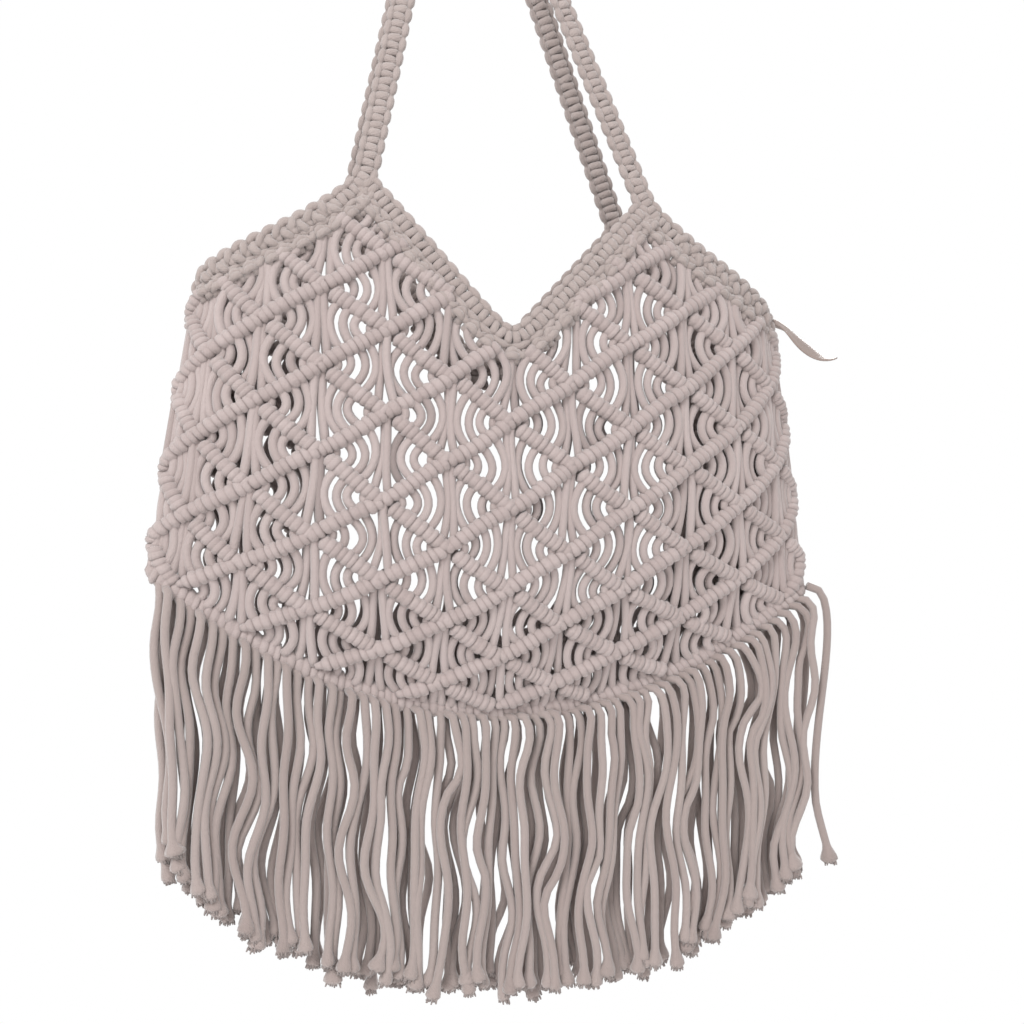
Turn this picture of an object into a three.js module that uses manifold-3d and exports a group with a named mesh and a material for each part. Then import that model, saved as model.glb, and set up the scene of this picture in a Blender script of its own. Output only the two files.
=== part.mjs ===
// A shoulder bag knotted from thick cotton cord. Two net walls meet at the sides and along a curved bottom seam,
// a fringe hangs from the seam in two layers, and two flat braided straps run from side corner to side corner,
// up over the peaks of the rim. Millimetres, +Z up, the front faces -Y.
// The origin is the underside of both straps at the top of the handle loop, where the bag hangs.
import * as THREE from "three";
import { mergeVertices } from "three/addons/utils/BufferGeometryUtils.js";
import Module from "manifold-3d";

const wasm = await Module();
wasm.setup();

// Driving sizes of the rim and the handles.
const CLEARANCE = 0.3;
const HANDLE_DROP = 214; // hang point down to the peaks
const HANG_OFFSET = 22; // hang point to the left of the bag's middle
const HOOK_RADIUS = 16; // inner radius of the straps where they hang
const PEAK_RISE = 82; // peaks above the notch of the vee
const PEAK_HALF_SPACING = 79;
const NOTCH_ROUNDING = 9;
const CORNER_RISE = 26; // side corners above the notch
const SLOPE_SAG = 5; // of the slopes between peaks and corners, most near the peaks
const CORNER_HALF_WIDTH = 162;
const STRAP_WIDTH = 13; // over the handle loop
const RIM_WIDTH = 14; // the same braid with its row of knots, along the rim
const BRAID_THICKNESS = 7;

// Driving sizes of the body.
const BODY_DROP = 197; // notch down to the middle of the bottom seam
const BASE_HALF_WIDTH = 182;
const BASE_RISE = 71; // ends of the bottom seam above its middle
const BELLY_HALF_DEPTH = 36;
const MOUTH_HALF_DEPTH = 28;
const BELLY_REACH = 115; // height above the seam at which the bag is deepest
const SEAM_HALF_DEPTH = 3;
const SEAM_RADIUS = 5;

// Driving sizes of the net.
const WEB_THICKNESS = 5;
const RIB_THICKNESS = 10;
const HALF_COLUMNS = 6; // columns of knots from the middle of a wall to its side
const ROWS = 10; // rows of knots from the notch to the seam
const OPEN_COLUMNS = 2; // the columns each side of the middle whose diamonds show light
const OPEN_ROWS = 7; // the last row whose diamonds show light
const GAP_MARGIN = 3; // web kept between a gap and the edge of the net

// Driving sizes of the fringe and the label.
const FRINGE_LENGTH = 150;
const FRINGE_THICKNESS = 8;
const LOCK_COUNT = 15;
const LOCK_SPACE = 5;
const LABEL_LENGTH = 44;
const LABEL_WIDTH = 14;
const LABEL_THICKNESS = 1;
const LABEL_GAP = 1.1; // from the strap to the middle of the tilted end of the label
const LABEL_RISE = 3; // label above the corner of the rim

// How many straight stretches each curve is made of.
const STEPS = { slope: 7, leg: 5, hook: 5, vee: 12, seam: 12, base: 20, label: 6 };

const peakZ = -HANDLE_DROP;
const notchZ = peakZ - PEAK_RISE;
const cornerZ = notchZ + CORNER_RISE;
const seamMiddleZ = notchZ - BODY_DROP;
const baseEndZ = seamMiddleZ + BASE_RISE;
const QUARTER = Math.PI / 2;

const { clamp, lerp } = THREE.MathUtils;
const square = (value) => value * value;
const vector = (x, y, z) => new THREE.Vector3(x, y, z);

// The shape of the bag: half its width at a height, the bottom seam, and half its depth.
const halfWidth = (z) =>
  lerp(CORNER_HALF_WIDTH, BASE_HALF_WIDTH, (cornerZ - z) / (cornerZ - baseEndZ));
const seamZ = (x) => seamMiddleZ + BASE_RISE * square(x / BASE_HALF_WIDTH);

function halfDepth(x, z) {
  const swell = clamp((z - seamZ(x)) / BELLY_REACH, 0, 1);
  const belly = lerp(SEAM_HALF_DEPTH, BELLY_HALF_DEPTH, Math.sin(QUARTER * swell));
  const rise = clamp((z - notchZ) / PEAK_RISE, 0, 1);
  return belly - (BELLY_HALF_DEPTH - MOUTH_HALF_DEPTH) * square(rise);
}

// A point of the front wall's middle surface. turn runs from -90 degrees at the left side to 90 at the right.
function wallPoint(turn, z) {
  const x = halfWidth(z) * Math.sin(turn);
  return vector(x, -halfDepth(x, z) * Math.cos(turn), z);
}

function wallNormal(turn, z) {
  const step = 0.01;
  const across = wallPoint(turn + step, z).sub(wallPoint(turn - step, z));
  const up = wallPoint(turn, z + 1).sub(wallPoint(turn, z - 1));
  return across.cross(up).normalize();
}

const turnAt = (x, z) => Math.asin(clamp(x / halfWidth(z), -1, 1));
const peakTurn = turnAt(PEAK_HALF_SPACING, peakZ);

// The rim's middle line: the vee between the peaks, and the slopes from the peaks to the side corners.
function veeZ(x) {
  const rounded = (reach) => Math.hypot(reach, NOTCH_ROUNDING) - NOTCH_ROUNDING;
  return notchZ + (PEAK_RISE * rounded(x)) / rounded(PEAK_HALF_SPACING);
}

function slopeZ(turn) {
  const run = (1 - Math.sin(Math.abs(turn))) / (1 - Math.sin(peakTurn));
  return lerp(cornerZ, peakZ, run) - SLOPE_SAG * Math.sin(Math.PI * square(run));
}

// The knots of the net. Column 0 is the middle of the wall and row 0 the notch; knots sit where both are
// even or both odd. Rows sag towards the middle, and draw together above the seam.
const ROW_SHARES = { linear: 1.15, square: 0.13, cube: -0.295, aboveNotch: 1.05 };
const SAG_SHARES = { first: 0.17, growth: 0.28 };
const COLUMN_EASE = { first: 0.23, growth: 0.16 }; // how much wider the columns are in turn near the sides

function knotPlace(column, row) {
  const across = column / HALF_COLUMNS;
  const down = row / ROWS;
  const ease = COLUMN_EASE.first + COLUMN_EASE.growth * down;
  const turn = QUARTER * across * (1 - ease + ease * square(across));
  const share =
    down < 0
      ? ROW_SHARES.aboveNotch * down
      : down * (ROW_SHARES.linear + down * (ROW_SHARES.square + down * ROW_SHARES.cube));
  const sag = BASE_RISE * (SAG_SHARES.first + SAG_SHARES.growth * down) * square(across);
  return { turn, z: notchZ - BODY_DROP * share + sag };
}

// Solids.

// A closed solid from flat triangles. place(vertex) gives each vertex its outer and inner point;
// triangles wind anticlockwise as seen from outside, and every open edge gets a wall.
function thicken(triangles, place) {
  const points = [];
  const seats = new Map();
  const seatOf = (vertex) => {
    const key = vertex.map((value) => value.toFixed(4)).join(" ");
    if (!seats.has(key)) {
      const { outer, inner } = place(vertex);
      seats.set(key, points.length);
      points.push(outer, inner);
    }
    return seats.get(key);
  };
  const faces = [];
  const edges = new Map();
  for (const triangle of triangles) {
    const [a, b, c] = triangle.map(seatOf);
    faces.push([a, b, c], [c + 1, b + 1, a + 1]);
    for (const [from, to] of [[a, b], [b, c], [c, a]]) {
      if (!edges.delete(`${to} ${from}`)) edges.set(`${from} ${to}`, [from, to]);
    }
  }
  for (const [from, to] of edges.values()) {
    faces.push([to, from, from + 1], [to, from + 1, to + 1]);
  }
  return solidGeometry(points, faces);
}

// A closed sweep through stations of {centre, side, normal, width, thickness}, with chamfered edges.
function sweep(stations, grow = 0) {
  const points = [];
  for (const { centre, side, normal, width, thickness } of stations) {
    const a = width / 2 + grow;
    const b = thickness / 2 + grow;
    const corners = [[a, -b / 2], [a, b / 2], [a - b / 2, b], [b / 2 - a, b],
      [-a, b / 2], [-a, -b / 2], [b / 2 - a, -b], [a - b / 2, -b]];
    for (const [u, v] of corners) {
      points.push(centre.clone().addScaledVector(side, u).addScaledVector(normal, v));
    }
  }
  const sides = points.length / stations.length;
  const faces = [];
  for (let station = 1; station < stations.length; station++) {
    for (let edge = 0; edge < sides; edge++) {
      const low = (station - 1) * sides;
      const next = (edge + 1) % sides;
      faces.push([low + edge, low + next, low + sides + next]);
      faces.push([low + edge, low + sides + next, low + sides + edge]);
    }
  }
  const last = points.length - sides;
  for (let edge = 1; edge < sides - 1; edge++) {
    faces.push([0, edge + 1, edge], [last, last + edge, last + edge + 1]);
  }
  return solidGeometry(points, faces);
}

function solidGeometry(points, faces) {
  const geometry = new THREE.BufferGeometry().setFromPoints(points);
  return geometry.setIndex(faces.flat());
}

function toSolid(geometry) {
  const bare = geometry.clone();
  bare.deleteAttribute("normal");
  bare.deleteAttribute("uv");
  const merged = mergeVertices(bare, 1e-3);
  return new wasm.Manifold(
    new wasm.Mesh({
      numProp: 3,
      vertProperties: new Float32Array(merged.attributes.position.array),
      triVerts: new Uint32Array(merged.index.array),
    }),
  );
}

function toGeometry(solid) {
  const mesh = solid.getMesh();
  const geometry = new THREE.BufferGeometry();
  geometry.setAttribute("position", new THREE.BufferAttribute(mesh.vertProperties, 3));
  return geometry.setIndex(new THREE.BufferAttribute(mesh.triVerts, 1));
}

const largest = (solid) =>
  solid.decompose().reduce((best, piece) => (piece.volume() > best.volume() ? piece : best));

const spread = (from, to, count) =>
  Array.from({ length: count + 1 }, (_, step) => lerp(from, to, step / count));

// Straps and rim bands.

// Stations from a list of {point, normal, width}: the side of the band lies square to its path and its normal.
function bandStations(path) {
  return path.map(({ point, normal, width }, step) => {
    const before = path[Math.max(step - 1, 0)].point;
    const after = path[Math.min(step + 1, path.length - 1)].point;
    const along = after.clone().sub(before).normalize();
    const side = normal.clone().cross(along).normalize();
    return { centre: point, side, normal: along.cross(side), width, thickness: BRAID_THICKNESS };
  });
}

const onWall = (turn, z) => ({
  point: wallPoint(turn, z),
  normal: wallNormal(turn, z),
  width: RIM_WIDTH,
});

// A slope runs a little past the side line, where the strap is then cut square.
function slopePath(hand) {
  const first = 1.06 * QUARTER;
  const last = lerp(QUARTER, peakTurn, 0.93);
  return spread(first, last, STEPS.slope).map((turn) => onWall(hand * turn, slopeZ(turn)));
}

// A handle hangs over a hook at hookX, and a leg runs from just above each peak up to the round of the hook.
const strapY = -(STRAP_WIDTH / 2 + 1);
const bendRadius = HOOK_RADIUS + BRAID_THICKNESS / 2;
const hookCentre = (hookX) => vector(hookX, strapY, -HOOK_RADIUS);
const aroundHook = (angle) => vector(Math.cos(angle), 0, Math.sin(angle));
const mirrored = ({ x, y, z }) => vector(-x, y, z);

// The angle about the hook at which the leg of one side meets its round.
function meetingAngle(hand, hookX) {
  const rise = -HOOK_RADIUS - peakZ;
  const reach = PEAK_HALF_SPACING - hand * hookX;
  const lean = Math.atan2(rise, reach) + Math.asin(bendRadius / Math.hypot(rise, reach));
  return QUARTER - hand * lean;
}

function legPath(hand, hookX) {
  const peak = wallPoint(hand * peakTurn, peakZ);
  const flat = wallNormal(hand * peakTurn, peakZ);
  const round = aroundHook(meetingAngle(hand, hookX));
  const top = hookCentre(hookX).addScaledVector(round, bendRadius);
  return spread(0.05, 1, STEPS.leg).map((share) => {
    const twist = QUARTER * share ** 4;
    return {
      point: peak.clone().lerp(top, share),
      normal: flat.clone().multiplyScalar(Math.cos(twist)).addScaledVector(round, Math.sin(twist)),
      width: lerp(RIM_WIDTH, STRAP_WIDTH, Math.min(1, 4 * share)),
    };
  });
}

function hookPath(hookX) {
  return spread(meetingAngle(-1, hookX), meetingAngle(1, hookX), STEPS.hook)
    .slice(1, -1)
    .map((angle) => ({
      point: hookCentre(hookX).addScaledVector(aroundHook(angle), bendRadius),
      normal: aroundHook(angle),
      width: STRAP_WIDTH,
    }));
}

function strapSolid(hookX, grow = 0) {
  const stations = bandStations([
    ...slopePath(-1),
    ...legPath(-1, hookX),
    ...hookPath(hookX),
    ...legPath(1, hookX).reverse(),
    ...slopePath(1).reverse(),
  ]);
  return toSolid(sweep(stations, grow));
}

function veeStations() {
  return bandStations(
    spread(-PEAK_HALF_SPACING, PEAK_HALF_SPACING, STEPS.vee).map((x) => onWall(turnAt(x, veeZ(x)), veeZ(x))),
  );
}

const frontOf = (solid) => solid.trimByPlane([0, -1, 0], CLEARANCE / 2);
const makeStrap = (hookX) => toGeometry(frontOf(strapSolid(hookX)));
const strapSpace = strapSolid(-HANG_OFFSET, CLEARANCE).add(strapSolid(HANG_OFFSET, CLEARANCE));
const makeVeeBand = () => toGeometry(largest(toSolid(sweep(veeStations())).subtract(strapSpace)));

// The bottom seam: a thick row of knots along a curve, between the two walls.

const seamPoint = (x) => vector(x, 0, seamZ(x));

function makeSeam(grow = 0) {
  const steps = spread(-BASE_HALF_WIDTH, BASE_HALF_WIDTH, STEPS.seam);
  const stations = steps.map((x) => {
    const along = seamPoint(x + 1).sub(seamPoint(x - 1)).normalize();
    const normal = vector(0, -1, 0);
    const side = normal.clone().cross(along);
    return { centre: seamPoint(x), side, normal, width: 2 * SEAM_RADIUS, thickness: 2 * SEAM_RADIUS };
  });
  return sweep(stations, grow);
}

const seamSpace = toSolid(makeSeam(CLEARANCE));

// The net walls.

const NET_EDGE = RIM_WIDTH / 2 + CLEARANCE; // from the rim's middle line down to the net

// The net's outline as seen from the front: below the rim's bands and above the middle of the seam.
function netOutline() {
  const below = ({ centre, side }, hand) => centre.clone().addScaledVector(side, hand * NET_EDGE);
  const lower = (station) => (station.side.z < 0 ? below(station, 1) : below(station, -1));
  const slope = bandStations(slopePath(-1)).map(lower);
  const vee = veeStations().map(lower);
  const left = slope.filter((point) => point.x < vee[0].x);
  const right = left.map(mirrored).reverse();
  const far = BASE_HALF_WIDTH + RIB_THICKNESS;
  const rim = [vector(-far, 0, left[0].z), ...left, ...vee, ...right, vector(far, 0, left[0].z)];
  const base = spread(far, -far, STEPS.base).map((x) => vector(x, 0, seamZ(x) + SEAM_RADIUS / 2));
  return [...rim, ...base];
}

function outlinePrism(outline) {
  const depth = BELLY_HALF_DEPTH + RIB_THICKNESS;
  const shape = new THREE.Shape(outline.map(({ x, z }) => new THREE.Vector2(x, z)));
  const prism = new THREE.ExtrudeGeometry(shape, { depth, bevelEnabled: false });
  return prism.rotateX(QUARTER).translate(0, -CLEARANCE / 2, 0);
}

// A diamond's ribs slope down to its web at this share of the way from its middle to its knots.
const WEB_SHARE = 0.74;

// The outline of the gap right of a diamond's middle, in columns and rows; the other gap mirrors it.
const GAP_SHAPE = [
  { across: 0.6, down: 0 },
  { across: 0.46, down: 0.16 },
  { across: 0.32, down: 0.3 },
  { across: 0.2, down: 0 },
  { across: 0.32, down: -0.3 },
  { across: 0.46, down: -0.16 },
];

// Whether a point of the wall is under the rim and over the seam, with some web to spare.
function insideNet(turn, z) {
  const { x } = wallPoint(turn, z);
  const rim = Math.abs(turn) < peakTurn ? veeZ(x) : slopeZ(turn);
  const margin = 1.5 * NET_EDGE + GAP_MARGIN;
  return z < rim - margin && z > seamZ(x) + SEAM_RADIUS + GAP_MARGIN;
}

// A diamond's own ring of corners: left, top, right, bottom. A diamond on the side line keeps its inner half.
function diamond(column, row, share) {
  const corners = [[column - share, row], [column, row - share], [column + share, row], [column, row + share]];
  return corners.filter(([c]) => Math.abs(c) <= HALF_COLUMNS + 1e-6);
}

function gapsOf(column, row) {
  if (Math.abs(column) > OPEN_COLUMNS || row > OPEN_ROWS) return [];
  return [-1, 1]
    .map((hand) => GAP_SHAPE.map(({ across, down }) => [column + hand * across, row + down]))
    .filter((gap) =>
      gap.every(([c, r]) => {
        const { turn, z } = knotPlace(c, r);
        return insideNet(turn, z);
      }),
    );
}

const doubledArea = ([a, b, c]) =>
  (b[0] - a[0]) * (c[1] - a[1]) - (b[1] - a[1]) * (c[0] - a[0]);

// Triangles of one diamond: the slopes from its ribs down to its web, then the web with its gaps.
function diamondTriangles(column, row) {
  const found = [];
  const knots = diamond(column, row, 1);
  const web = diamond(column, row, WEB_SHARE);
  knots.forEach((knot, step) => {
    const next = (step + 1) % knots.length;
    const onSideLine = Math.abs(column) === HALF_COLUMNS && knot[0] === column && knots[next][0] === column;
    if (onSideLine) return;
    found.push([knot, knots[next], web[next]], [knot, web[next], web[step]]);
  });
  const gaps = gapsOf(column, row);
  const flat = (loop) => loop.map(([c, r]) => new THREE.Vector2(c, r));
  const corners = [...web, ...gaps.flat()];
  for (const face of THREE.ShapeUtils.triangulateShape(flat(web), gaps.map(flat))) {
    found.push(face.map((index) => corners[index]));
  }
  return found.map((triangle) => (doubledArea(triangle) < 0 ? triangle : [...triangle].reverse()));
}

// Knots lie on whole columns and rows; everything else that a diamond places is on its web.
const isKnot = (vertex) => vertex.every((value) => Number.isInteger(value));

function placeNet(vertex) {
  const { turn, z } = knotPlace(...vertex);
  const point = wallPoint(turn, z);
  const normal = wallNormal(turn, z);
  const half = (isKnot(vertex) ? RIB_THICKNESS : WEB_THICKNESS) / 2;
  const onFront = (p) => p.setY(Math.min(p.y, 0));
  return {
    outer: onFront(point.clone().addScaledVector(normal, half)),
    inner: onFront(point.clone().addScaledVector(normal, -half)),
  };
}

function makeNet() {
  const triangles = [];
  for (let column = -HALF_COLUMNS; column <= HALF_COLUMNS; column++) {
    for (let row = -ROWS / 2; row <= ROWS + 3; row++) {
      if ((column + row) % 2 !== 0) triangles.push(...diamondTriangles(column, row));
    }
  }
  const whole = toSolid(thicken(triangles, placeNet));
  const cut = whole.intersect(toSolid(outlinePrism(netOutline())));
  return toGeometry(largest(cut.subtract(strapSpace).subtract(seamSpace)));
}

// The fringe: locks of cord hanging side by side from a strip under the seam.

const LOCK_STEPS = [0, 0.12, 0.4, 0.7, 1];
const LOCK_WAVES = { across: 3.5, depth: 1.2, perLock: 0.9, perLength: 7 };
const LOCK_ENDS = { spread: 0.07, perLock: 2.4 };

function makeFringe() {
  const pitch = (2 * BASE_HALF_WIDTH) / LOCK_COUNT;
  const halfLock = (pitch - LOCK_SPACE) / 2;
  const triangles = [];
  const quad = (a, b, c, d) => triangles.push([a, b, c], [a, c, d]);
  for (let lock = 0; lock < LOCK_COUNT; lock++) {
    const middle = -BASE_HALF_WIDTH + pitch * (lock + 0.5);
    const edges = [middle - halfLock, middle, middle + halfLock];
    for (let step = 1; step < LOCK_STEPS.length; step++) {
      for (const [left, right] of [[edges[0], edges[1]], [edges[1], edges[2]]]) {
        quad([left, step, lock], [right, step, lock], [right, step - 1, lock], [left, step - 1, lock]);
      }
    }
    if (lock < LOCK_COUNT - 1) {
      const next = middle + pitch - halfLock;
      quad([edges[2], 1, lock], [next, 1, lock + 1], [next, 0, lock + 1], [edges[2], 0, lock]);
    }
  }
  const place = ([x, step, lock]) => {
    const share = LOCK_STEPS[step];
    const middle = -BASE_HALF_WIDTH + pitch * (lock + 0.5);
    const length = FRINGE_LENGTH * (1 + LOCK_ENDS.spread * Math.sin(LOCK_ENDS.perLock * lock));
    const wave = LOCK_WAVES.perLock * lock + LOCK_WAVES.perLength * share;
    const sway = share * LOCK_WAVES.across * Math.sin(wave);
    const crown = 1 - 0.4 * square((x - middle) / halfLock);
    const depth = (FRINGE_THICKNESS / 2) * crown;
    const y = -FRINGE_THICKNESS / 2 - CLEARANCE + share * LOCK_WAVES.depth * (Math.cos(wave) - 1);
    const z = seamZ(x) - SEAM_RADIUS / 2 - length * share;
    return { outer: vector(x + sway, y - depth, z), inner: vector(x + sway, y + depth, z) };
  };
  const comb = toSolid(thicken(triangles, place));
  return toGeometry(largest(comb.subtract(seamSpace)));
}

// The label: a blank folded ribbon that stands out of the right side, at the corner of the rim.
function makeLabel() {
  const rootZ = cornerZ + LABEL_RISE;
  const root = halfWidth(rootZ) + BRAID_THICKNESS / 2 + LABEL_GAP;
  const path = spread(0, 1, STEPS.label).map((share) => {
    const fall = share ** 0.85;
    const droop = 0.5 * fall * fall * (3 - 2 * fall);
    const twist = 1.45 - 0.45 * Math.sin(Math.PI * share ** 1.4);
    return {
      point: vector(root + 0.86 * LABEL_LENGTH * share, 0, rootZ - LABEL_LENGTH * droop),
      normal: vector(0, -Math.cos(twist), Math.sin(twist)),
      width: LABEL_WIDTH * (0.6 + 0.4 * Math.sin(QUARTER * Math.min(1, 2 * share))),
    };
  });
  return sweep(bandStations(path).map((station) => ({ ...station, thickness: LABEL_THICKNESS })));
}

// Colours and assembly.

const cotton = { color: 0xcdc1bd, roughness: 0.95, metalness: 0 };
const COLOURS = {
  net: new THREE.MeshStandardMaterial(cotton),
  braid: new THREE.MeshStandardMaterial({ ...cotton, color: 0xc9bdb8 }),
  fringe: new THREE.MeshStandardMaterial({ ...cotton, color: 0xbfb2ad }),
  label: new THREE.MeshStandardMaterial({ color: 0xb9a59b, roughness: 0.6, metalness: 0 }),
};

function named(name, geometry, material) {
  const mesh = new THREE.Mesh(geometry, material);
  mesh.name = name;
  geometry.computeVertexNormals();
  return mesh;
}

// The back half is the front half turned about the vertical, so that the diagonal ribs run on round the bag.
// Its strap is made for a hook on the other side, and both straps then hang from one hook.
function makeHalf(prefix, shapes, hookX) {
  const half = new THREE.Group();
  half.add(
    named(`${prefix}_net`, shapes.net, COLOURS.net),
    named(`${prefix}_vee_band`, shapes.vee, COLOURS.braid),
    named(`${prefix}_strap`, makeStrap(hookX), COLOURS.braid),
    named(`${prefix}_fringe`, shapes.fringe, COLOURS.fringe),
  );
  return half;
}

const shapes = { net: makeNet(), vee: makeVeeBand(), fringe: makeFringe() };
const bag = new THREE.Group();
const back = makeHalf("back", shapes, HANG_OFFSET);
back.rotation.z = Math.PI;
bag.add(
  makeHalf("front", shapes, -HANG_OFFSET),
  back,
  named("bottom_seam", makeSeam(), COLOURS.net),
  named("side_label", makeLabel(), COLOURS.label),
);
bag.position.x = HANG_OFFSET;

export default bag;
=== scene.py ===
"""A shoulder bag knotted from thick cotton cord, hanging by its straps.

Lengths are in millimetres until a mesh is made, which turns them into metres. The front faces -Y.
"""
import math

import bpy
import numpy as np
from mathutils import Matrix, Vector


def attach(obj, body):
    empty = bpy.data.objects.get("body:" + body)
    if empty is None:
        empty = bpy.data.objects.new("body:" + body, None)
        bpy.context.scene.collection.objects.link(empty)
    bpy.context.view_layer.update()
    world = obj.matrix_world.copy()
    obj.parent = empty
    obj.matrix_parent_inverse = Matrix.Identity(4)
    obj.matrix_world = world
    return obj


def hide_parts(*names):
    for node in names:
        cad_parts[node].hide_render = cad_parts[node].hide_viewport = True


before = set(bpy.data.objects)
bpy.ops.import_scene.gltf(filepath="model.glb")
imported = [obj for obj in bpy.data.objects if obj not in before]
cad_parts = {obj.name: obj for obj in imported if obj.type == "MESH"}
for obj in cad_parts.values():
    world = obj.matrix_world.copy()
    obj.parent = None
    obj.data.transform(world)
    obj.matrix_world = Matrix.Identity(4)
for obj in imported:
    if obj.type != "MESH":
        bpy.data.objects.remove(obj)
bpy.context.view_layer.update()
MM = 0.001
HALF_PI = math.pi / 2

# The driving sizes of the part's source.
HANDLE_DROP = 214
HANG_OFFSET = 22
HOOK_RADIUS = 16
PEAK_RISE = 82
PEAK_HALF_SPACING = 79
NOTCH_ROUNDING = 9
CORNER_RISE = 26
SLOPE_SAG = 5
CORNER_HALF_WIDTH = 162
STRAP_WIDTH = 13
BODY_DROP = 197
BASE_HALF_WIDTH = 182
BASE_RISE = 71
BELLY_HALF_DEPTH = 36
MOUTH_HALF_DEPTH = 28
BELLY_REACH = 115
SEAM_HALF_DEPTH = 3
SEAM_RADIUS = 5
BRAID_THICKNESS = 7
HALF_COLUMNS = 6
ROWS = 10
FRINGE_LENGTH = 150
LABEL_LENGTH = 44
LABEL_WIDTH = 14
LABEL_RISE = 3
LABEL_GAP = 4.6  # from the side of the wall to the end of the label

# The cords.
CORD_RADIUS = 2.35
CORD_SIDES = 7
WRAP_PITCH = 4.05
FALLING_WRAP_PITCH = 3.5
KNOT_PITCH = 4.4

peak_z = -HANDLE_DROP
notch_z = peak_z - PEAK_RISE
corner_z = notch_z + CORNER_RISE
seam_middle_z = notch_z - BODY_DROP
base_end_z = seam_middle_z + BASE_RISE

# The camera, placed from the photograph: where it stands, from the middle of the bag, and where it looks.
EYE = np.array([-189.5, -784.0, peak_z - 260.0])
EYE_YAW = math.radians(14.3)
EYE_PITCH = math.radians(6.3)
EYE_ROLL = math.radians(0.65)
EYE_LENS = 52.0

rng = np.random.default_rng(7)  # for the unevenness of the fans


# Small helpers.


def lerp(a, b, t):
    return a + (b - a) * t


def smooth(t):
    t = np.clip(t, 0, 1)
    return t * t * (3 - 2 * t)


def unit(v):
    return v / np.linalg.norm(v, axis=-1, keepdims=True)


def vec(x, y, z):
    return np.array([x, y, z], dtype=float)


# The bag's shape, as in the part's source.


def half_width(z):
    return lerp(CORNER_HALF_WIDTH, BASE_HALF_WIDTH, (corner_z - z) / (corner_z - base_end_z))


def seam_z(x):
    return seam_middle_z + BASE_RISE * (x / BASE_HALF_WIDTH) ** 2


def half_depth(x, z):
    swell = np.clip((z - seam_z(x)) / BELLY_REACH, 0, 1)
    belly = lerp(SEAM_HALF_DEPTH, BELLY_HALF_DEPTH, np.sin(HALF_PI * swell))
    rise = np.clip((z - notch_z) / PEAK_RISE, 0, 1)
    return belly - (BELLY_HALF_DEPTH - MOUTH_HALF_DEPTH) * rise**2


def turn_at(x, z):
    return np.arcsin(np.clip(x / half_width(z), -1, 1))


def wall_point(turn, z):
    x = half_width(z) * np.sin(turn)
    return np.stack([x, -half_depth(x, z) * np.cos(turn), z + 0 * x], axis=-1)


def wall_normal(turn, z):
    step = 0.01
    across = wall_point(turn + step, z) - wall_point(turn - step, z)
    up = wall_point(turn, z + 1) - wall_point(turn, z - 1)
    return unit(np.cross(across, up))


peak_turn = float(turn_at(PEAK_HALF_SPACING, peak_z))


def vee_z(x):
    def rounded(reach):
        return np.hypot(reach, NOTCH_ROUNDING) - NOTCH_ROUNDING

    return notch_z + PEAK_RISE * rounded(x) / rounded(PEAK_HALF_SPACING)


def slope_z(turn):
    run = (1 - np.sin(np.abs(turn))) / (1 - math.sin(peak_turn))
    return lerp(corner_z, peak_z, run) - SLOPE_SAG * np.sin(math.pi * run**2)


def rim_z(x, z):
    turn = turn_at(x, z)
    return np.where(np.abs(turn) < peak_turn, vee_z(x), slope_z(turn))


# The knots of the net, as in the part's source.
ROW_SHARES = {"linear": 1.15, "square": 0.13, "cube": -0.295, "above_notch": 1.05}
SAG_SHARES = {"first": 0.17, "growth": 0.28}
COLUMN_EASE = {"first": 0.23, "growth": 0.16}
LAST_ROW = ROWS + 2


def knot_place(column, row):
    across = column / HALF_COLUMNS
    down = row / ROWS
    ease = COLUMN_EASE["first"] + COLUMN_EASE["growth"] * down
    turn = HALF_PI * across * (1 - ease + ease * across**2)
    below = down * (ROW_SHARES["linear"] + down * (ROW_SHARES["square"] + down * ROW_SHARES["cube"]))
    share = np.where(down < 0, ROW_SHARES["above_notch"] * down, below)
    sag = BASE_RISE * (SAG_SHARES["first"] + SAG_SHARES["growth"] * down) * across**2
    return turn, notch_z - BODY_DROP * share + sag


# Hand-knotted rows wander a little, but not on the side lines.
WANDER = {"column": 0.028, "row": 0.04}
STEADY = {"from_row": 6, "over_rows": 3, "share": 0.7}  # the lower rows wander less


def wander(column, row):
    fade = np.cos(HALF_PI * np.clip(np.abs(column) / HALF_COLUMNS, 0, 1))
    fade = fade * (1 - STEADY["share"] * smooth((row - STEADY["from_row"]) / STEADY["over_rows"]))
    sideways = WANDER["column"] * np.sin(1.9 * column + 2.3 * row) * fade
    upright = WANDER["row"] * np.sin(2.7 * column - 1.7 * row + 0.8) * fade
    return column + sideways, row + upright


def front_place(column, row):
    return wall_point(*knot_place(*wander(column, row)))


# Where the middle of the back net lies behind the front net's cords, so that light falls through both nets: all
# of it up to the first number, none of it past the second.
CLEAR_COLUMNS = (2.6, 4.2)
CLEAR_ROWS = (6.2, 7.8)
SIGHT_ROUNDS = 6


def back_place(column, row):
    """column counts from left to right as seen from behind."""
    front = front_place(-column, row)
    mirror = front * vec(1, -1, 1)
    behind = front
    for _ in range(SIGHT_ROUNDS):
        x, z = behind[..., 0], behind[..., 2]
        depth = half_depth(x, z) * np.cos(turn_at(x, z))
        reach = (depth - EYE[1]) / (front[..., 1] - EYE[1])
        behind = EYE + (front - EYE) * reach[..., None]
    low, high = CLEAR_COLUMNS
    weight = 1 - smooth((np.abs(column) - low) / (high - low))
    low, high = CLEAR_ROWS
    weight = weight * (1 - smooth((row - low) / (high - low)))
    place = lerp(mirror, behind, weight[..., None])
    x, z = place[..., 0], place[..., 2]
    depth = half_depth(x, z) * np.cos(turn_at(x, z))
    place[..., 1] = np.where(weight > 0, depth, mirror[..., 1])
    return place


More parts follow.
